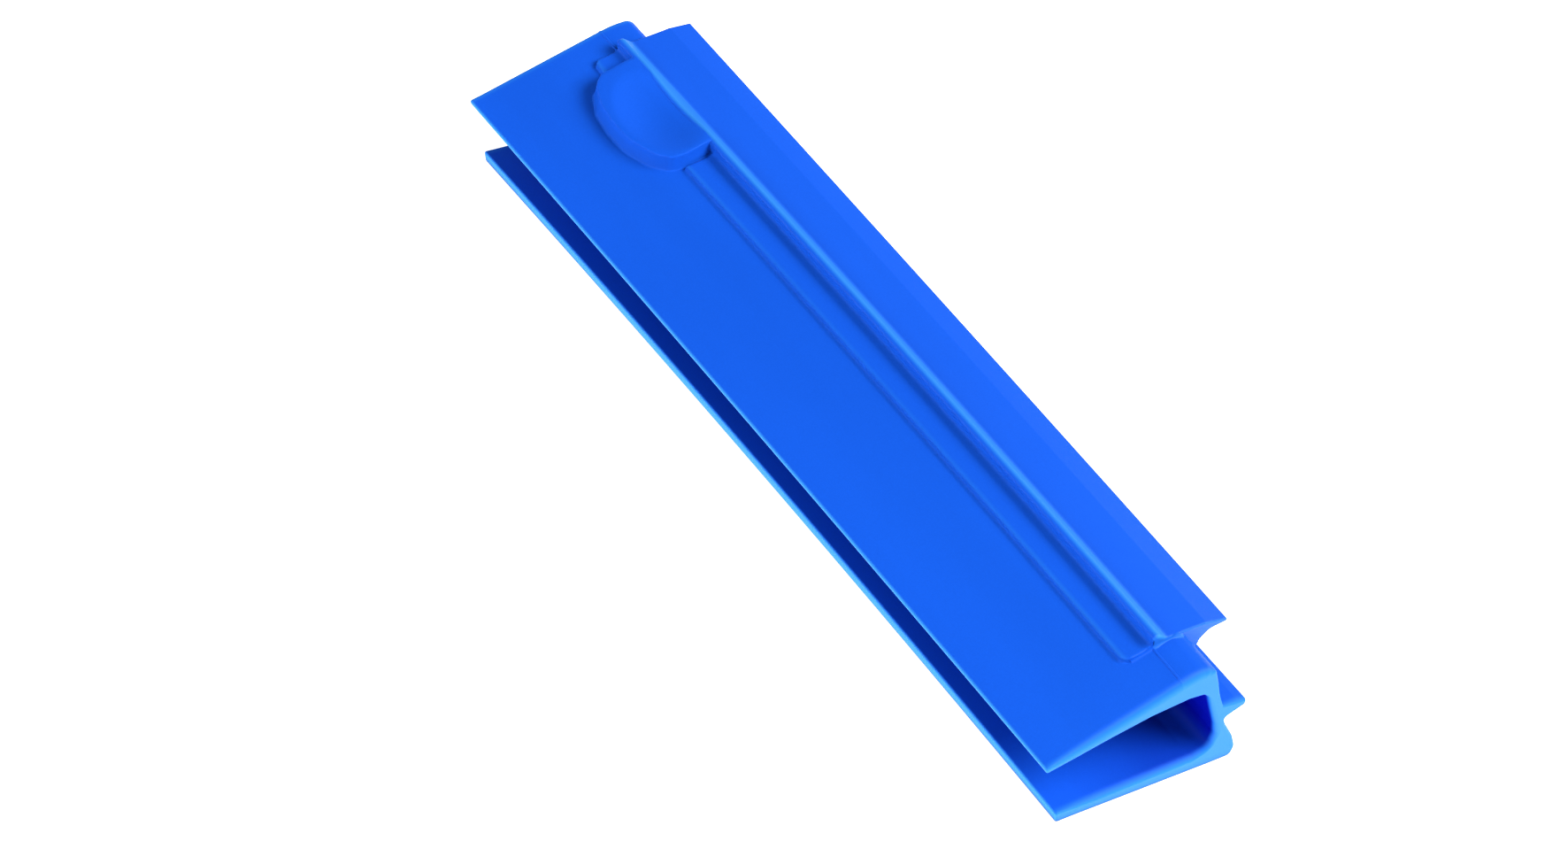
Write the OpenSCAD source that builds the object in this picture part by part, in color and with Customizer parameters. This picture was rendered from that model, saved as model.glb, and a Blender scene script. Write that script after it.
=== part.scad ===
// Long moulded bag clip. A C-shaped pair of jaws is joined by a thin flexible spine.
// Sections are drawn in the upper jaw's own plane, then tilted so that the clip lies
// on the flat underside of its lower jaw. Millimetres, +X along the clip towards the
// end that is open in front, -Y at the jaw tips, +Z up.

/* [Body] */
// Overall length of both jaws
clip_len = 200; // [120:5:260]
// Radius that softens the ends of the jaws
end_r = 1.8; // [0.4:0.1:2.4]

/* [Upper jaw] */
// Distance from the jaw tip to the parting line in front of the rail
blade_w = 32.3; // [26:0.1:38]
// Thickness of the upper jaw at its tip
tip_t = 1.3; // [1:0.1:2]
// Thickness of the upper jaw at the parting line
root_t = 6.0; // [4:0.1:8]

/* [Grip rail] */
// Gap between the rail and the open end of the jaws
rail_gap_near = 10; // [4:0.5:20]
// Gap between the rail and the thumb grip end of the jaws
rail_gap_far = 6.7; // [4:0.1:20]
// Height of the ridge above the upper jaw
ridge_h = 3.2; // [2:0.1:5]

/* [Foot strip] */
// Width of the raised strip in front of the rail
strip_w = 6.8; // [4:0.1:9]
// Height of the raised strip
strip_h = 1.2; // [0.6:0.1:2]

/* [Thumb grip] */
// Distance from the thumb grip end of the jaws to the grip
grip_gap = 12.7; // [10:0.1:20]
// Length of the grip along the clip
grip_len = 28; // [20:0.5:36]
// Height of the grip's rim above the upper jaw
grip_h = 3.5; // [2.5:0.1:5]
// Depth of the dish in the grip
dish_d = 2.0; // [1:0.1:2.6]

/* [Hidden] */
$fn = 48;
// Tilt of the section that lays the lower jaw's underside flat
rest_tilt = 21.2;
// Shifts that put the origin at the middle of the resting footprint
shift_y = -28.41;
shift_z = 19.079;
blue = [0.10, 0.38, 0.93];
half = clip_len / 2;
// X of the two rail ends
rail_x0 = -half + rail_gap_far;
rail_x1 = half - rail_gap_near;
// X of the grip's two ends
grip_x0 = -half + grip_gap;
grip_x1 = grip_x0 + grip_len;

// Top of the roof behind the parting line, from the front to the spine
roof_top = [[blade_w, 0], [36, -0.4], [38.6, -1.1], [39.9, -2.3], [40.7, -4.2], [41.1, -7], [41.3, -9]];
// Inside of the hollow under the roof, from the spine to the front
roof_in = [[39.05, -11], [38.7, -9.7], [37.6, -8.5], [35.6, -7.3], [blade_w, -root_t]];
// Outer and inner faces of the flexible spine, from the top down
web_out = [[41.3, -9], [41.9, -13], [42.9, -17.4]];
web_in = [[40.35, -18.4], [39.7, -14.5], [39.05, -11]];

// Lays a section frame solid down in the resting frame
module laid() {
    translate([0, shift_y, shift_z])
        rotate([rest_tilt, 0, 0])
            children();
}

// Extrudes a section, drawn as [y, z], from x0 to x1
module along(x0, x1, pts) {
    translate([x0, 0, 0])
        rotate([90, 0, 90])
            linear_extrude(height = x1 - x0)
                polygon(pts);
}

// Cutter that rounds the edge between a flat of the section and one end of the clip
module end_round(p, q, r, side) {
    run = norm(q - p);
    translate([side * half, p[0], p[1]])
        rotate([atan2(q[1] - p[1], q[0] - p[0]), 0, 0])
            translate([0, run, 0])
                rotate([90, 0, 0])
                    linear_extrude(height = run)
                        scale([side, 1])
                            difference() {
                                translate([-r, -r]) square([r + 1, r + 1]);
                                translate([-r, -r]) circle(r = r);
                                translate([-2 * r, -3 * r]) square([r, 4 * r]);
                                translate([-3 * r, -2 * r]) square([4 * r, r]);
                            }
}

module lower_jaw() {
    color(blue)
        laid()
            difference() {
                along(-half, half, [
                    [2.7, -20.5], [2.7, -19.5], [2.95, -18.85], [3.6, -18.55],
                    [12, -21.5], [33, -29.0], [37.2, -30.3], [39.2, -30.3],
                    [40.6, -29.4], [41.3, -27.8], [41.45, -25.5], [41.1, -22.5],
                    [40.35, -18.4], [42.9, -17.4], [43.1, -21.6], [43.35, -23.2],
                    [44.4, -26], [45.6, -29.6], [46.6, -33.2], [46.9, -35.2],
                    [46.45, -36.9], [45.2, -37.85], [43.6, -37.375], [4.0, -22.015],
                    [3.3, -21.65], [2.85, -21.15]
                ]);
                end_round([2, -17.95], [37.2, -30.4], end_r, 1);
                end_round([2, -17.95], [37.2, -30.4], end_r, -1);
            }
}

module rear_rib() {
    color(blue)
        laid()
            along(-half, half, [
                [42.9, -17.4], [44.6, -18.0], [46.4, -18.9], [47.7, -19.6],
                [48.5, -20.2], [48.75, -20.9], [48.4, -21.5], [47.6, -21.75],
                [45.5, -21.9], [43.7, -22.0], [43.1, -21.6]
            ]);
}

module spine_web() {
    color(blue)
        laid()
            along(-half, half, concat(web_out, web_in));
}

module back_bar() {
    color(blue)
        laid()
            difference() {
                along(-half, half, concat(roof_top, roof_in));
                end_round([31, 0], [40.5, -0.9], end_r, 1);
                end_round([31, 0], [40.5, -0.9], end_r, -1);
            }
}

module upper_jaw() {
    color(blue)
        laid()
            difference() {
                along(-half, half, [
                    [0, -0.85], [0, -0.45], [0.18, -0.14], [0.55, 0],
                    [blade_w, 0], [blade_w, -root_t], [29, -5.05],
                    [25, -4.3], [14.9, -2.9], [7.3, -2.1], [2.3, -tip_t - 0.25],
                    [0.6, -tip_t], [0.16, -1.16]
                ]);
                end_round([-1, 0], [34, 0], end_r, 1);
                end_round([-1, 0], [34, 0], end_r, -1);
            }
}

module grip_rail() {
    color(blue)
        laid()
            along(rail_x0, rail_x1, concat(
                [for (i = [len(roof_top) - 1 : -1 : 0]) roof_top[i]],
                [
                    [blade_w, ridge_h - 1.1], [blade_w + 0.25, ridge_h - 0.35],
                    [blade_w + 0.9, ridge_h], [blade_w + 1.6, ridge_h - 0.25],
                    [35.4, 0.95], [36.1, 0.4], [37.2, 0.15], [45.4, -2.0],
                    [49.9, -4.3], [50.2, -4.75], [49.9, -5.05], [46.8, -5.0],
                    [45.6, -5.4], [44.4, -6.6], [43.8, -8.1], [42.9, -8.9]
                ]
            ));
}

module foot_strip() {
    color(blue)
        laid()
            translate([grip_x1 + 1.2, 0, 0])
                strip_bar(rail_x1 - grip_x1 - 1.2, strip_w, 2);
}

// A raised strip that runs from x = 0 to x = run, its free corner rounded in plan
module strip_bar(run, w, r) {
    y0 = blade_w - w;
    intersection() {
        along(0, run, [
            [y0 + 0.1, 0], [y0, strip_h - 0.5], [y0 + 0.2, strip_h - 0.1],
            [y0 + 0.6, strip_h], [blade_w - 2.4, strip_h - 0.25],
            [blade_w - 1, strip_h - 0.1], [blade_w - 0.35, strip_h + 0.35],
            [blade_w, strip_h + 0.9], [blade_w, 0]
        ]);
        translate([0, 0, -1])
            linear_extrude(height = strip_h + 4)
                difference() {
                    translate([-1, y0 - 1]) square([run + 1, w + 2]);
                    translate([run - r, y0 - 1])
                        difference() {
                            square([r + 1, r + 1]);
                            translate([0, r + 1]) circle(r = r);
                        }
                }
    }
}

module strip_tab() {
    color(blue)
        laid()
            translate([grip_x0 - 0.4, 0, 0])
                mirror([1, 0, 0])
                    strip_bar(grip_x0 - 1.3 - rail_x0, strip_w - 1.3, 1.5);
}

// Plan outline of the thumb grip, grown by g for the draft of its wall
function grip_plan(g) = [
    [grip_x0 - g * 0.3, blade_w], [grip_x0 - g * 0.3, 25.3], [grip_x0 + 0.3 - g * 0.4, 23.9 - g * 0.5],
    [grip_x0 + 1.7 - g * 0.3, 22.3 - g], [grip_x0 + 4, 21.1 - g], [grip_x0 + 7, 20.2 - g],
    [grip_x0 + 10.5, 19.6 - g], [grip_x0 + 14, 19.4 - g], [grip_x0 + 17.5, 19.5 - g],
    [grip_x0 + 20.5, 20.0 - g], [grip_x0 + 23.2, 20.9 - g], [grip_x0 + 25.4, 22.1 - g],
    [grip_x1 - 0.9 + g * 0.4, 23.6 - g * 0.8], [grip_x1 - 0.2 + g * 0.5, 25.2 - g * 0.4],
    [grip_x1 + g * 0.5, 26.4], [grip_x1 + g * 0.5, blade_w]
];

module thumb_grip() {
    color(blue)
        laid()
            difference() {
                union() {
                    linear_extrude(height = grip_h) polygon(grip_plan(0));
                    linear_extrude(height = grip_h - 0.9) polygon(grip_plan(0.4));
                    linear_extrude(height = grip_h - 1.8) polygon(grip_plan(0.8));
                    linear_extrude(height = grip_h - 2.7) polygon(grip_plan(1.2));
                }
                // Shallow dish, cut by a large ball that only grazes the rim
                translate([grip_x0 + 15.5, 29.2, grip_h - dish_d + 26])
                    sphere(r = 26, $fn = 96);
            }
}

lower_jaw();
rear_rib();
spine_web();
back_bar();
upper_jaw();
grip_rail();
foot_strip();
strip_tab();
thumb_grip();
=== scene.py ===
"""Long moulded bag clip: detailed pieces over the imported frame, materials, light and camera."""

import math

import bmesh
import bpy
from mathutils import Matrix, Vector


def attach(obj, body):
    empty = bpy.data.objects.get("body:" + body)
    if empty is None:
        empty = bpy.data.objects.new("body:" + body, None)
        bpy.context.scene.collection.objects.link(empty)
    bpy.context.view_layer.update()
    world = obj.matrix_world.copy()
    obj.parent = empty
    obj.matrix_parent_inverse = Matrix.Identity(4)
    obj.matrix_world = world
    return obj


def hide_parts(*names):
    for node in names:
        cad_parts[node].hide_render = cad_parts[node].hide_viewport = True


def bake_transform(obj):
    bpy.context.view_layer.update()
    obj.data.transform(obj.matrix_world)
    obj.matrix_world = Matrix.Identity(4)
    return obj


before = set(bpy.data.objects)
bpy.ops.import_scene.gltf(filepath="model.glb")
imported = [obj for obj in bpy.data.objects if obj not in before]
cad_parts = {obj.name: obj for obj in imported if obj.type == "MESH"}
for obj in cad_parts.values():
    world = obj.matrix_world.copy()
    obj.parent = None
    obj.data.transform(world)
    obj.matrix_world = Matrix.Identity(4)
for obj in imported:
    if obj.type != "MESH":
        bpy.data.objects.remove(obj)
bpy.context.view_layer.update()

# The clip's sections are written in millimetres in the upper jaw's plane, as [y, z]
# with the jaw tip at y = 0 and the top of the plate at z = 0. LAID turns that plane
# into the resting frame, in metres.
TILT = math.radians(21.2)
LAID = (
    Matrix.Scale(0.001, 4)
    @ Matrix.Translation((0.0, -28.407, 19.079))
    @ Matrix.Rotation(TILT, 4, "X")
)
HALF = 100.0  # half the clip's length
RAIL_NEAR, RAIL_FAR = 90.0, -93.3
TAB_FAR = -92.7
GRIP_FAR, GRIP_NEAR = -87.3, -59.3
STRIP_BACK = 32.6  # y of the strips' back edge, inside the rail


def ramp(t, a, b):
    """0 at a, 1 at b, straight in between and held beyond them."""
    return min(1.0, max(0.0, (t - a) / (b - a)))


def table(t, rows):
    """Straight-line interpolation in rows of (t, value)."""
    if t <= rows[0][0]:
        return rows[0][1]
    for (t0, v0), (t1, v1) in zip(rows, rows[1:]):
        if t <= t1:
            return v0 + (v1 - v0) * (t - t0) / (t1 - t0)
    return rows[-1][1]


def bow_at(x, y, z):
    """How far the moulding warp moves a point inwards from the jaw tips."""
    u = x / HALF
    bow = 1.0 - u * u
    upper = ramp(z, -18.0, -9.0)
    top = table(y, [(0, 0.5), (20, 0.7), (33, 0.9), (50, 0.3)]) * bow
    low = (1.2 * bow - 0.45 + 0.45 * u) * (1.0 - ramp(y, 2.0, 40.0))
    return upper * top + (1.0 - upper) * low


def unbowed(x, y, z):
    """The (y, z) of a warped point with the bow taken out again, near enough."""
    bow = bow_at(x, y, z)
    return y - bow * math.cos(TILT), z + bow * math.sin(TILT)


def warp(x, y, z):
    """The slight moulding warp: the long edges bow inwards at mid length, and the
    rail's flange drops towards the near end."""
    u = x / HALF
    along = bow_at(x, y, z)
    flange = ramp(y, 37.0, 50.0) ** 1.2 * ramp(z, -9.0, -6.5) * (-0.42 - 1.13 * u)
    y2 = y + along * math.cos(TILT)
    z2 = z - along * math.sin(TILT) + flange
    return Vector((x, y2, z2))


def double_area(outline):
    """Twice the signed area of a closed outline."""
    pairs = [(outline[i - 1], outline[i]) for i in range(len(outline))]
    return sum(a[0] * b[1] - b[0] * a[1] for a, b in pairs)


def rounded(corners, n=6):
    """Closed outline from corners (y, z, fillet, end radius): a list of (y, z, e)."""
    out = []
    count = len(corners)
    turn = double_area(corners)
    for i, (y, z, r, e) in enumerate(corners):
        p = Vector((y, z))
        a = Vector(corners[i - 1][:2]) - p
        b = Vector(corners[(i + 1) % count][:2]) - p
        if r <= 0:
            out.append((y, z, e))
            continue
        la, lb = a.length, b.length
        a.normalize()
        b.normalize()
        half_turn = 0.5 * math.acos(max(-1.0, min(1.0, a.dot(b))))
        reach = min(r / math.tan(half_turn), 0.49 * la, 0.49 * lb)
        r = reach * math.tan(half_turn)
        if (a.y * b.x - a.x * b.y) * turn > 0:
            e = min(e, 0.8 * r)  # an outside corner cannot be inset past its own fillet
        mid = (a + b).normalized()
        centre = p + mid * (r / math.sin(half_turn))
        start = (p + a * reach) - centre
        stop = (p + b * reach) - centre
        sweep = start.angle_signed(stop)
        for k in range(n + 1):
            q = start.copy()
            q.rotate(Matrix.Rotation(-sweep * k / n, 2))
            out.append((centre.x + q.x, centre.y + q.y, e))
    return out


def inward(outline):
    """Unit normals of a closed outline, pointing into the material."""
    n = len(outline)
    side = 1.0 if double_area(outline) > 0 else -1.0
    normals = []
    for i in range(n):
        p = Vector(outline[i][:2])
        a = (p - Vector(outline[i - 1][:2])).normalized()
        b = (Vector(outline[(i + 1) % n][:2]) - p).normalized()
        t = (a + b).normalized()
        normals.append(Vector((-t.y, t.x)) * side)
    return normals


def stations(x0, x1, reach, step, n=8):
    """(x, distance from the nearer end) from x1 down to x0, dense near both ends."""
    ends = [reach * (1.0 - math.cos(0.5 * math.pi * k / n)) for k in range(n + 1)]
    middle = x1 - x0 - 2 * reach
    inner = max(2, round(middle / step))
    rows = [(x1 - s, s) for s in ends]
    rows += [(x1 - reach - middle * k / inner, reach) for k in range(1, inner)]
    rows += [(x0 + s, s) for s in reversed(ends)]
    return rows


def round_inset(e, s):
    """Inset of a quarter-round end break of radius e, at distance s from the end."""
    return e - math.sqrt(max(0.0, e * e - (e - s) ** 2)) if s < e else 0.0


CREASE_START = math.radians(40.0)
CREASE_DEPTH = 0.66  # inset at the end face, as a share of the end radius


def creased_inset(e, s):
    """An end break that starts with a faint crease and steepens towards the end face."""
    if s >= e:
        return 0.0
    sine = 1.0 - (s / e) * (1.0 - math.sin(CREASE_START))
    flat = math.cos(CREASE_START)
    return CREASE_DEPTH * e * (flat - math.sqrt(max(0.0, 1.0 - sine * sine))) / flat


def skin(bm, rings):
    """Quads between each ring of vertices and the next."""
    for a, b in zip(rings, rings[1:]):
        for i in range(len(a)):
            bm.faces.new((a[i - 1], a[i], b[i], b[i - 1]))


def close_ends(bm, rings):
    bm.faces.new(rings[0])
    bm.faces.new(list(reversed(rings[-1])))


FACE_RING = -1.0  # marks the extra ring that lies in an end face, just inside its edge


def loft(bm, outline, x0, x1, reach, step, bump=None, shape=None, creased=None, far_cap=9.0):
    """Loft an outline along X, its ends rounded by each point's own end radius.

    bump lifts single outline points, shape(x, p) moves a section point, creased(y, z) says
    which points have the creased break at the near end, and far_cap limits the end radii
    of the far half."""
    normals = inward(outline)
    rings = []
    rows = [(x1, FACE_RING)] + stations(x0, x1, reach, step) + [(x0, FACE_RING)]
    for x, s in rows:
        ring = []
        for i, (y, z, e) in enumerate(outline):
            if x < 0.5 * (x0 + x1):
                e = min(e, far_cap)
            inset_at = creased_inset if creased and creased(y, z) and x > 0 else round_inset
            inset = inset_at(e, max(s, 0.0))
            if s == FACE_RING:
                inset += min(0.12, 0.15 * e)
            lift = bump[i] if bump else 0.0
            p = Vector((y, z)) + normals[i] * (inset - lift)
            if shape:
                p = shape(x, p)
            ring.append(bm.verts.new(warp(x, p.x, p.y)))
        rings.append(ring)
    skin(bm, rings)
    close_ends(bm, rings)


def fillet_bar(bm, x_face, away, line, sink=0.25, n=6):
    """A cove between an end face at x_face and the surface below it. line rows are
    (y, z, radius) along the surface; away is +1 or -1 along X."""
    rings = []
    for y, z, r in line:
        arc = [(0.0, r)]
        for k in range(1, n):
            a = 0.5 * math.pi * k / n
            arc.append((r * (1 - math.cos(a)), r * (1 - math.sin(a))))
        arc += [(r, 0.0), (r, -sink), (-0.4, -sink), (-0.4, r)]
        rings.append([bm.verts.new(warp(x_face + away * dx, y, z + dz)) for dx, dz in arc])
    skin(bm, rings)
    close_ends(bm, rings)


def finish_piece(name, bm, mat, sharp=38.0, **fields):
    """Mesh object from bm, laid in the frame. Edges that turn by more than sharp degrees
    stay sharp. Each field is a function of (x, y, z) and becomes a mesh attribute."""
    bmesh.ops.remove_doubles(bm, verts=bm.verts, dist=1e-5)
    bmesh.ops.recalc_face_normals(bm, faces=bm.faces)
    for edge in bm.edges:
        if edge.is_manifold and edge.calc_face_angle() > math.radians(sharp):
            edge.smooth = False
    mesh = bpy.data.meshes.new(name)
    bm.to_mesh(mesh)
    bm.free()
    for field, value_at in fields.items():
        attribute = mesh.attributes.new(field, "FLOAT", "POINT")
        for i, vert in enumerate(mesh.vertices):
            attribute.data[i].value = value_at(*vert.co)
    mesh.transform(LAID)
    for poly in mesh.polygons:
        poly.use_smooth = True
    mesh.materials.append(mat)
    obj = bpy.data.objects.new(name, mesh)
    bpy.context.scene.collection.objects.link(obj)
    return obj


# ---------------------------------------------------------------- material
BLUE = (0.0030, 0.043, 0.305)
# Colour of the painted highlight on lit edges and end faces
PAINTED_HIGHLIGHT_BLUE = (0.0100, 0.090, 0.30)
# Colour of the painted shade in the deep end of the hollow
PAINTED_SHADE_BLUE = (0.0001, 0.0010, 0.125)
ROUGHNESS = (0.36, 0.50)
BUMP_STRENGTH = 0.16
BUMP_DEPTH = 0.00006
PLASTIC_IOR = 1.49


def blue_plastic(name, grain=1.0, flow=1.0, sheen=0.025):
    """Satin moulded plastic: clear strong blue with a fine grain and faint lengthwise
    flow streaks. sheen is the specular level."""
    mat = bpy.data.materials.new(name)
    mat.use_nodes = True
    nt = mat.node_tree
    bsdf = nt.nodes["Principled BSDF"]
    coords = nt.nodes.new("ShaderNodeTexCoord")

    def noise(scale, detail, rough, stretch=(1, 1, 1)):
        m = nt.nodes.new("ShaderNodeMapping")
        m.inputs["Scale"].default_value = stretch
        nt.links.new(coords.outputs["Object"], m.inputs["Vector"])
        n = nt.nodes.new("ShaderNodeTexNoise")
        n.inputs["Scale"].default_value = scale
        n.inputs["Detail"].default_value = detail
        n.inputs["Roughness"].default_value = rough
        nt.links.new(m.outputs["Vector"], n.inputs["Vector"])
        return n

    def ramp_node(source, stops):
        r = nt.nodes.new("ShaderNodeValToRGB")
        nt.links.new(source, r.inputs["Fac"])
        while len(r.color_ramp.elements) < len(stops):
            r.color_ramp.elements.new(0.5)
        for el, (pos, col) in zip(r.color_ramp.elements, stops):
            el.position = pos
            el.color = (*col, 1.0)
        return r

    streaks = noise(55.0, 3.0, 0.55, (0.16, 1.0, 1.0))
    low = tuple(c * (1.0 - 0.055 * flow) for c in BLUE)
    high = tuple(c * (1.0 + 0.045 * flow) for c in BLUE)
    colour = ramp_node(streaks.outputs["Fac"], [(0.30, low), (0.70, high)])
    speck = noise(2600.0, 2.0, 0.6)
    fine = ramp_node(speck.outputs["Fac"], [(0.3, (0.955,) * 3), (0.7, (1.035,) * 3)])
    mix = nt.nodes.new("ShaderNodeMix")
    mix.data_type = "RGBA"
    mix.blend_type = "MULTIPLY"
    mix.inputs[0].default_value = 1.0
    nt.links.new(colour.outputs["Color"], mix.inputs[6])
    nt.links.new(fine.outputs["Color"], mix.inputs[7])

    # Two mesh attributes shift the colour: a painted highlight lightens the thin edges and end
    # faces, and painted shade darkens the deep end of the hollow.
    def tinted(source, field, tint):
        share = nt.nodes.new("ShaderNodeAttribute")
        share.attribute_name = field
        blend = nt.nodes.new("ShaderNodeMix")
        blend.data_type = "RGBA"
        nt.links.new(share.outputs["Fac"], blend.inputs[0])
        nt.links.new(source, blend.inputs[6])
        blend.inputs[7].default_value = (*tint, 1.0)
        return blend.outputs[2]

    shaded = tinted(mix.outputs[2], "hollow_shade", PAINTED_SHADE_BLUE)
    lit = tinted(shaded, "edge_glow", PAINTED_HIGHLIGHT_BLUE)
    nt.links.new(lit, bsdf.inputs["Base Color"])

    patches = noise(120.0, 4.0, 0.6)
    rough = nt.nodes.new("ShaderNodeMapRange")
    rough.inputs["To Min"].default_value, rough.inputs["To Max"].default_value = ROUGHNESS
    nt.links.new(patches.outputs["Fac"], rough.inputs["Value"])
    nt.links.new(rough.outputs["Result"], bsdf.inputs["Roughness"])

    bump = nt.nodes.new("ShaderNodeBump")
    bump.inputs["Strength"].default_value = BUMP_STRENGTH * grain
    bump.inputs["Distance"].default_value = BUMP_DEPTH
    nt.links.new(speck.outputs["Fac"], bump.inputs["Height"])
    nt.links.new(bump.outputs["Normal"], bsdf.inputs["Normal"])
    bsdf.inputs["Specular IOR Level"].default_value = sheen
    bsdf.inputs["IOR"].default_value = PLASTIC_IOR
    return mat


plate_mat = blue_plastic("satin_blue_plastic")
rail_mat = blue_plastic("satin_blue_plastic_rail", grain=0.8, flow=0.8, sheen=0.045)
grip_mat = blue_plastic("satin_blue_plastic_grip", grain=1.1, flow=0.5, sheen=0.03)

# ---------------------------------------------------------------- shell
# Corners of the whole C, as (y, z, fillet, end radius), from the upper jaw's nose
# over the roof, down the thin spine, round the rib and heel, along the flat
# underside, back along the floor, up the inside and out under the upper jaw.
SHELL = [
    (0.0, 0.0, 0.55, 0.45),
    (2.5, 0.0, 0, 0.9),
    (7.0, 0.0, 0, 1.5),
    (13.0, 0.0, 0, 2.0),
    (32.0, 0.0, 0, 2.0),
    (32.15, 0.0, 0, 2.0),
    (32.45, 0.0, 0, 2.0),
    (32.6, 0.0, 0, 2.0),
    (34.6, -0.08, 20.0, 2.0),
    (37.2, -0.5, 14.0, 1.9),
    (39.2, -1.2, 2.5, 1.5),
    (40.45, -2.6, 1.6, 0.7),
    (41.1, -7.0, 3.0, 0.45),
    (41.4, -10.0, 0, 0.4),
    (41.65, -11.8, 0, 0.4),
    (41.95, -13.4, 0, 0.4),
    (42.4, -15.4, 0, 0.4),
    (42.85, -17.45, 0.7, 0.4),
    (46.4, -18.85, 3.0, 1.1),
    (48.75, -20.1, 0.8, 0.75),
    (48.5, -21.75, 0.8, 0.6),
    (45.5, -21.9, 2.0, 0.5),
    (43.15, -22.0, 0.9, 0.4),
    (44.0, -25.2, 2.0, 0.7),
    (46.25, -31.6, 3.0, 0.9),
    (47.0, -35.6, 2.0, 0.9),
    (45.75, -38.13, 1.5, 0.8),
    (40.0, -35.978, 0, 0.7),
    (20.0, -28.221, 0, 0.6),
    (6.0, -22.791, 0, 0.6),
    (2.72, -21.519, 0.9, 0.5),
    (2.7, -18.3, 0.45, 0.45),
    (8.0, -20.1, 0, 1.2),
    (14.0, -22.2, 0, 1.7),
    (30.0, -27.93, 0, 1.7),
    (36.2, -30.15, 2.5, 1.6),
    (40.2, -30.4, 2.4, 1.3),
    (41.5, -26.5, 2.6, 1.1),
    (41.2, -22.5, 3.0, 1.0),
    (40.4, -18.2, 2.0, 0.9),
    (39.85, -15.2, 0, 0.8),
    (39.5, -13.2, 0, 0.7),
    (39.1, -10.9, 1.0, 0.5),
    (37.6, -8.4, 1.5, 0.35),
    (34.0, -6.6, 3.0, 0.3),
    (25.0, -4.3, 3.0, 0.3),
    (14.9, -2.9, 0, 0.3),
    (7.3, -2.1, 0, 0.3),
    (0.25, -1.28, 0.45, 0.3),
]
shell_outline = rounded(SHELL)
# The fine parting line where the rail's left wall meets the plate runs on to both ends.
PARTING_LIFT = 0.16
shell_bump = [
    PARTING_LIFT if 32.1 < y < 32.5 and z > -0.1 else 0.0 for y, z, e in shell_outline
]


def on_floor_or_rib(y, z):
    """Outline points on the lower jaw's floor or on top of the rear rib."""
    floor = 3.5 < y < 41.0 and -30.6 < z < -18.4 and z > -17.2 - 0.39 * y
    rib = y > 43.5 and -21.0 < z < -17.0
    return floor or rib


def shell_highlight(x, y, z):
    """Painted highlight on the end faces and both jaw tips."""
    ends = 0.75 * ramp(abs(x), 98.6, 99.8)
    y0, _ = unbowed(x, y, z)
    tips = ramp(y0, 0.6, 0.3) if z > -6.0 else ramp(y0, 3.1, 2.85)
    return max(ends, tips)


def shell_shade(x, y, z):
    """The hollow darkens towards the spine, where hardly any light comes through."""
    y0, z0 = unbowed(x, y, z)
    over_jaw = z0 > -18.9 - 0.371 * y0
    under_jaw = z0 < -0.6 - 0.1 * y0
    before_spine = y0 < 38.9 - 0.14 * z0
    if not (over_jaw and under_jaw and before_spine):
        return 0.0
    above_floor = ramp(z0 + 17.35 + 0.354 * y0, 0.3, 4.0)
    return ramp(y0, 5.0, 32.0) * (0.62 + 0.38 * above_floor) * ramp(abs(x), 99.9, 98.4)


bm = bmesh.new()
loft(bm, shell_outline, -HALF, HALF, 2.0, step=8.0, bump=shell_bump,
     creased=on_floor_or_rib, far_cap=0.6)
shell = finish_piece("clip_shell", bm, plate_mat, edge_glow=shell_highlight, hollow_shade=shell_shade)

# ---------------------------------------------------------------- rail
RAIL = [
    (32.7, -0.6, 0, 0.3),
    (32.3, -0.1, 0, 0.3),
    (32.3, 3.3, 0.85, 0.55),
    (33.8, 3.06, 0.9, 0.55),
    (35.9, 0.42, 2.0, 0.45),
    (40.0, -0.65, 0, 0.45),
    (45.4, -2.0, 2.5, 0.45),
    (50.6, -4.45, 0.18, 0.3),
    (50.6, -5.13, 0.22, 0.25),
    (46.4, -5.0, 2.0, 0.35),
    (44.2, -6.7, 1.6, 0.4),
    (43.7, -8.6, 0.9, 0.4),
    (41.6, -9.35, 0.8, 0.2),
    (40.7, -9.0, 0, 0.2),
    (39.7, -4.0, 0, 0.2),
    (38.0, -2.0, 0, 0.2),
    (35.6, -1.1, 0, 0.2),
]

RIM = 3.5  # height of the thumb grip's rim
DISH_LOW = 1.5  # height of the dish's lowest point
DISH_X, DISH_Y = -72.2, 28.6
DISH_HALF_X, DISH_HALF_Y = 12.4, 8.5
CREST_Y = 33.4


def dish_z(x, y):
    """Height of the thumb dish: a shallow bowl that runs out flat at the rim."""
    out = ((x - DISH_X) / DISH_HALF_X) ** 2 + ((y - DISH_Y) / DISH_HALF_Y) ** 2
    return RIM - (RIM - DISH_LOW) * max(0.0, 1.0 - out) ** 1.35


def scoop(x):
    """How far the dish cuts the ridge's crest down at x."""
    return RIM - dish_z(x, CREST_Y)


def cut_crest(x, p):
    """Lower the ridge of a rail section by the scoop."""
    share = ramp(p.y, 0.9, 2.2) * (1.0 - ramp(p.x, 34.3, 35.6))
    return Vector((p.x, p.y - scoop(x) * share))


def rail_highlight(x, y, z):
    """Painted highlight on the ridge's thin crest, most of all down its lit side, and on the near
    end face.
    """
    y0, _ = unbowed(x, y, z)
    crest = ramp(y0, 32.9, 33.6) * (1.0 - ramp(y0, 35.2, 36.4)) * ramp(z, -0.6, 0.9)
    near_end = 0.4 * ramp(x, RAIL_NEAR - 0.4, RAIL_NEAR)
    return max(crest, near_end)


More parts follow.
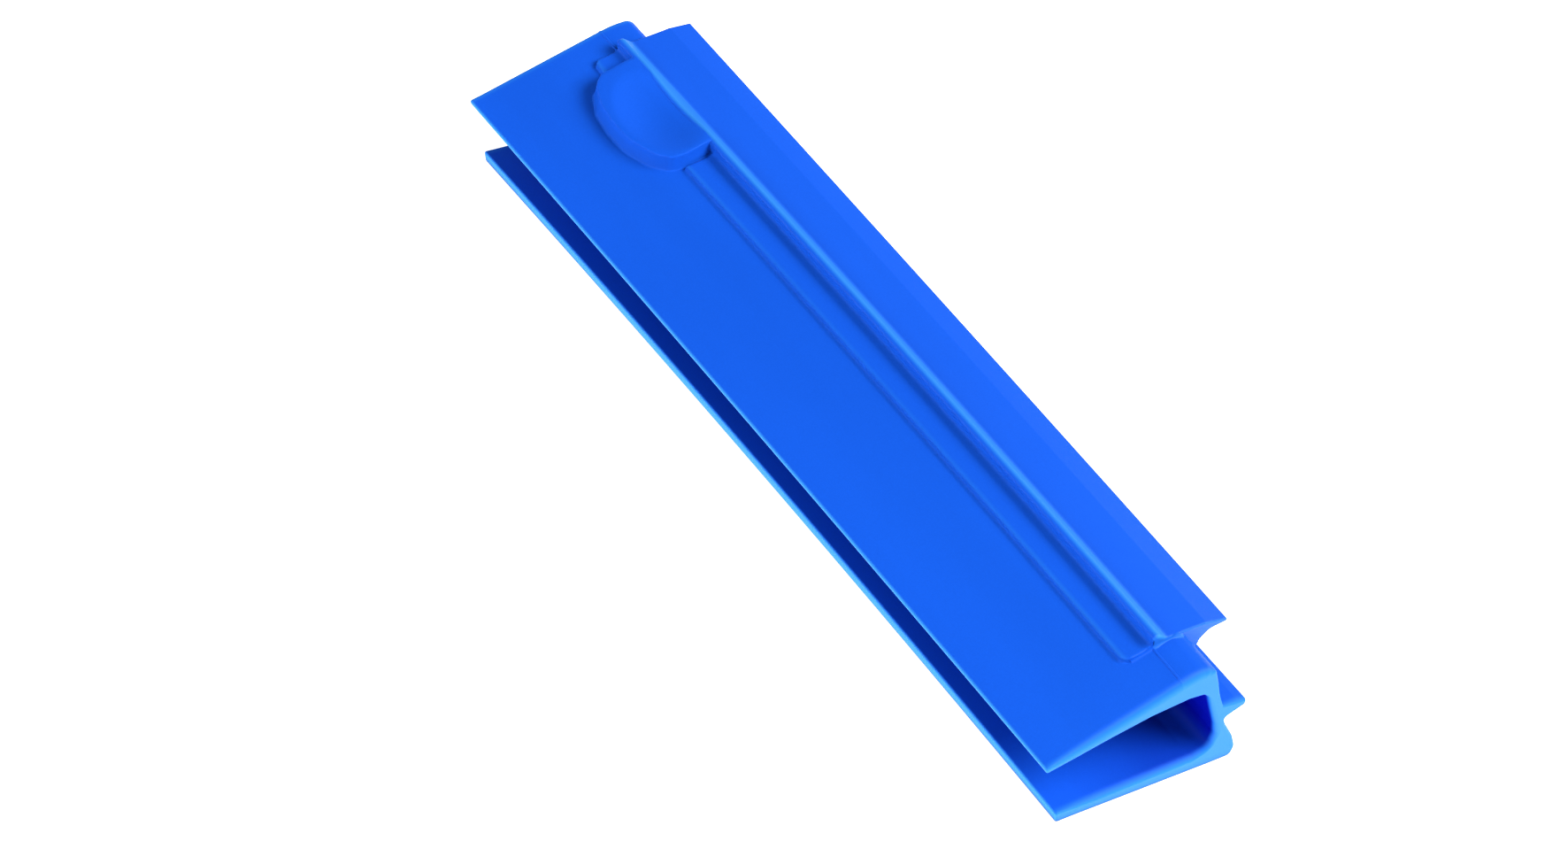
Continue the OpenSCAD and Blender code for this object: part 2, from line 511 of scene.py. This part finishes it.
# Foot of the rail's end faces on the roof, as (y, z, cove radius)
ROOF_LINE = [
    (31.9, 0.0, 0.3),
    (32.5, 0.0, 0.6),
    (33.4, -0.05, 0.7),
    (34.6, -0.14, 0.5),
    (36.0, -0.36, 0.45),
    (37.6, -0.66, 0.6),
    (38.6, -0.98, 0.8),
    (39.3, -1.3, 0.7),
    (39.8, -1.75, 0.3),
]

bm = bmesh.new()
loft(bm, rounded(RAIL), RAIL_FAR, RAIL_NEAR, 0.6, step=2.5, shape=cut_crest)
fillet_bar(bm, RAIL_NEAR, 1.0, ROOF_LINE)
fillet_bar(bm, RAIL_FAR, -1.0, [(y, z, 0.6 * r) for y, z, r in ROOF_LINE])
rail = finish_piece("squeeze_rail", bm, rail_mat, edge_glow=rail_highlight)

# ---------------------------------------------------------------- foot strip and tab
def strip_corners(y0, toe, sag):
    """Section of the strip: a cove of width toe in front, a top that sags to the rail."""
    return [
        (y0 - toe - 0.1, -0.35, 0, 0.05),
        (y0 - toe, -0.02, 0, 0.05),
        (y0 - 0.10, 0.10, toe, 0.05),
        (y0 + 0.15, 0.95, 0.22, 0.3),
        (y0 + 0.50, 1.16, 0.3, 0.45),
        (y0 + 1.4, 1.16, 0.8, 0.5),
        (28.9, 1.0 - 0.4 * sag, 2.5, 0.5),
        (30.9, 0.98 - 0.8 * sag, 1.4, 0.5),
        (31.95, 1.16 - 0.48 * sag, 0.8, 0.4),
        (32.42, 2.35, 0, 0.3),
        (STRIP_BACK, 2.35, 0, 0.3),
        (STRIP_BACK, -0.35, 0, 0.2),
    ]


def build_strip(name, x0, x1, y0, corner, round_near, toe, sag):
    """A raised bar in front of the rail. Its free end, near or far, is rounded in plan
    with the radius corner."""

    def shape(x, p):
        dist = x1 - x if round_near else x - x0
        if dist < corner:
            cut = corner - math.sqrt(max(0.0, corner ** 2 - (corner - dist) ** 2))
            p = Vector((p.x + cut * (1.0 - ramp(p.x, y0, STRIP_BACK)), p.y))
        return p

    # Painted highlight along the strip's front top edge
    def front_highlight(x, y, z):
        y_flat, _ = unbowed(x, y, z)
        return 0.3 * ramp(z, 0.7, 1.0) * (1.0 - ramp(y_flat, y0 + 0.7, y0 + 1.3))

    bm = bmesh.new()
    outline = rounded(strip_corners(y0, toe, sag), n=4)
    loft(bm, outline, x0, x1, corner, step=8.0, shape=shape)
    if round_near:
        foot = [(y, 0.0, 0.5) for y in (y0 + corner * 0.8, y0 + corner, 29.0, 31.0, 32.4)]
        fillet_bar(bm, x1, 1.0, foot, sink=0.2, n=4)
    return finish_piece(name, bm, plate_mat, edge_glow=front_highlight)


strip = build_strip(
    "foot_bar", GRIP_NEAR + 1.1, RAIL_NEAR, 25.5, corner=2.0, round_near=True, toe=1.0, sag=0.5
)
tab = build_strip(
    "end_tab", TAB_FAR, GRIP_FAR + 0.8, 26.1, corner=1.5, round_near=False, toe=0.35, sag=0.1
)

# ---------------------------------------------------------------- thumb grip
GRIP_PLAN = [
    (GRIP_FAR, 33.2, 0.3),
    (GRIP_FAR, 24.6, 1.6),
    (GRIP_FAR + 1.5, 22.3, 3.0),
    (GRIP_FAR + 6.0, 20.2, 8.0),
    (GRIP_FAR + 12.0, 19.25, 12.0),
    (GRIP_FAR + 18.0, 19.35, 12.0),
    (GRIP_FAR + 24.2, 21.3, 8.0),
    (GRIP_NEAR - 0.7, 23.6, 3.0),
    (GRIP_NEAR, 26.6, 3.0),
    (GRIP_NEAR, 33.2, 0.3),
]
EDGE_ROUND = 0.45  # radius of the grip's rounded top edge
RAIL_TUCK = 0.30  # how far the rim stays below the ridge's crest beside the rail
# Wall of the grip below its rounded edge, as (distance out, z): a drafted face and a cove
WALL = [(0.35, 1.9), (0.75, 1.1), (1.0, 0.5), (1.12, 0.28), (1.3, 0.12), (1.6, 0.02), (1.6, -0.4)]
DISH_RINGS = 18
EDGE_RINGS = 5


def grip_outline():
    """The rim in plan, with a point about every 1.1 mm."""
    pts = rounded([(x, y, r, 0.0) for x, y, r in GRIP_PLAN], n=9)
    pts = [Vector((x, y)) for x, y, e in pts]
    dense = []
    for a, b in zip(pts, pts[1:] + pts[:1]):
        steps = max(1, round((b - a).length / 1.1))
        dense += [a.lerp(b, k / steps) for k in range(steps)]
    return dense


rim_pts = grip_outline()
rim_in = inward([(p.x, p.y, 0.0) for p in rim_pts])


def by_rail(y):
    return ramp(y, 31.0, 33.2)


def crest_at(p):
    """Height of the rim round the dish; along the ridge it follows the scooped crest."""
    return RIM - by_rail(p.y) * (RAIL_TUCK + scoop(p.x))


def outward(g):
    """The rim moved out by g, less at the near and far ends and hardly at the rail."""
    moved = []
    for p, inwards in zip(rim_pts, rim_in):
        n = -inwards
        keep = 1.0 - 0.45 * ramp(n.x, 0.2, 0.95) - 0.75 * ramp(-n.x, 0.2, 0.95)
        keep *= 1.0 - 0.8 * ramp(p.y, 30.5, 32.5)
        moved.append(p + n * g * keep)
    return moved


bm = bmesh.new()
rings = []


def grip_ring(points, heights):
    rings.append([bm.verts.new(warp(p.x, p.y, z)) for p, z in zip(points, heights)])


deep = Vector((DISH_X, DISH_Y))
top_edge = outward(-EDGE_ROUND)
for j in range(1, DISH_RINGS + 1):
    pts = [deep.lerp(p, j / DISH_RINGS) for p in top_edge]
    grip_ring(pts, [dish_z(q.x, q.y) - RAIL_TUCK * by_rail(q.y) for q in pts])
for k in range(1, EDGE_RINGS + 1):
    a = 0.5 * math.pi * k / EDGE_RINGS
    out = EDGE_ROUND * (math.sin(a) - 1.0)
    drop = EDGE_ROUND * (1.0 - math.cos(a))
    grip_ring(outward(out), [crest_at(p) - drop for p in rim_pts])
for g, z in WALL:
    grip_ring(outward(g), [z] * len(rim_pts))
centre = bm.verts.new(warp(DISH_X, DISH_Y, DISH_LOW))
for i in range(len(rim_pts)):
    bm.faces.new((centre, rings[0][i - 1], rings[0][i]))
skin(bm, rings)
bm.faces.new(rings[-1])
grip = finish_piece("thumb_dish", bm, grip_mat, sharp=50.0)

# ---------------------------------------------------------------- riding
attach(rail, "upper_jaw")
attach(strip, "upper_jaw")
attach(tab, "upper_jaw")
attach(grip, "upper_jaw")
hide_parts("grip_rail")
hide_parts("foot_strip")
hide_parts("strip_tab")
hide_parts("thumb_grip")
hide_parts("lower_jaw", "rear_rib", "spine_web", "back_bar", "upper_jaw")
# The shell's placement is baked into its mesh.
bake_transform(shell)

# ---------------------------------------------------------------- stage
WHITE = (1.0, 1.0, 1.0, 1.0)
FLOOR_HALF = 3.0
FLOOR_GREY = (0.30, 0.30, 0.30, 1.0)
WORLD_STRENGTH = 0.36

scene = bpy.context.scene
scene.view_settings.view_transform = "Standard"

# The floor emits, so that it stays pure white without a shadow.
floor_mesh = bpy.data.meshes.new("studio_floor")
bm = bmesh.new()
bmesh.ops.create_grid(bm, x_segments=2, y_segments=2, size=FLOOR_HALF)
bm.to_mesh(floor_mesh)
bm.free()
floor = bpy.data.objects.new("studio_floor", floor_mesh)
scene.collection.objects.link(floor)
floor_mat = bpy.data.materials.new("pale_floor")
floor_mat.use_nodes = True
floor_bsdf = floor_mat.node_tree.nodes["Principled BSDF"]
floor_bsdf.inputs["Base Color"].default_value = FLOOR_GREY
floor_bsdf.inputs["Roughness"].default_value = 0.9
floor_bsdf.inputs["Specular IOR Level"].default_value = 0.0
floor_bsdf.inputs["Emission Color"].default_value = WHITE
floor_bsdf.inputs["Emission Strength"].default_value = 1.0
floor_mesh.materials.append(floor_mat)

world = bpy.data.worlds.new("studio_world")
scene.world = world
world.use_nodes = True
sky = world.node_tree.nodes["Background"]
sky.inputs["Color"].default_value = WHITE
sky.inputs["Strength"].default_value = WORLD_STRENGTH


def softbox(name, place, size, power, target=(0.0, 0.0, 0.015)):
    """A rectangular area light at place that faces target; power is in watts."""
    light = bpy.data.lights.new(name, "AREA")
    light.shape = "RECTANGLE"
    light.size, light.size_y = size
    light.energy = power
    lamp = bpy.data.objects.new(name, light)
    lamp.location = place
    lamp.rotation_euler = (Vector(target) - Vector(place)).to_track_quat("-Z", "Y").to_euler()
    scene.collection.objects.link(lamp)
    return lamp


softbox("key_right", (0.98, 0.64, 1.635), size=(1.2, 1.0), power=122.0)
softbox("front_fill", (0.15, -2.00, 0.72), size=(2.2, 0.6), power=44.0)
softbox("back_strip", (0.30, 1.90, 0.85), size=(2.0, 0.4), power=46.0)
# The table in the photo is lit far past white, so a light just above the floor, hidden
# from the camera and from reflections, lights every edge and end face from below.
table_glow = softbox(
    "table_glow", (0.0, 0.0, 0.0004), size=(1.4, 1.4), power=37.0, target=(0.0, 0.0, 1.0)
)
table_glow.visible_camera = False
table_glow.visible_glossy = False

cam_data = bpy.data.cameras.new("photo_view")
cam_data.sensor_width = 36.0
cam_data.lens = 101.58
cam_data.clip_start = 0.01
cam = bpy.data.objects.new("photo_view", cam_data)
cam.location = (0.43390, -0.53282, 0.57853)
cam.rotation_euler = tuple(math.radians(a) for a in (48.185, -15.781, 53.678))
scene.collection.objects.link(cam)
scene.camera = cam
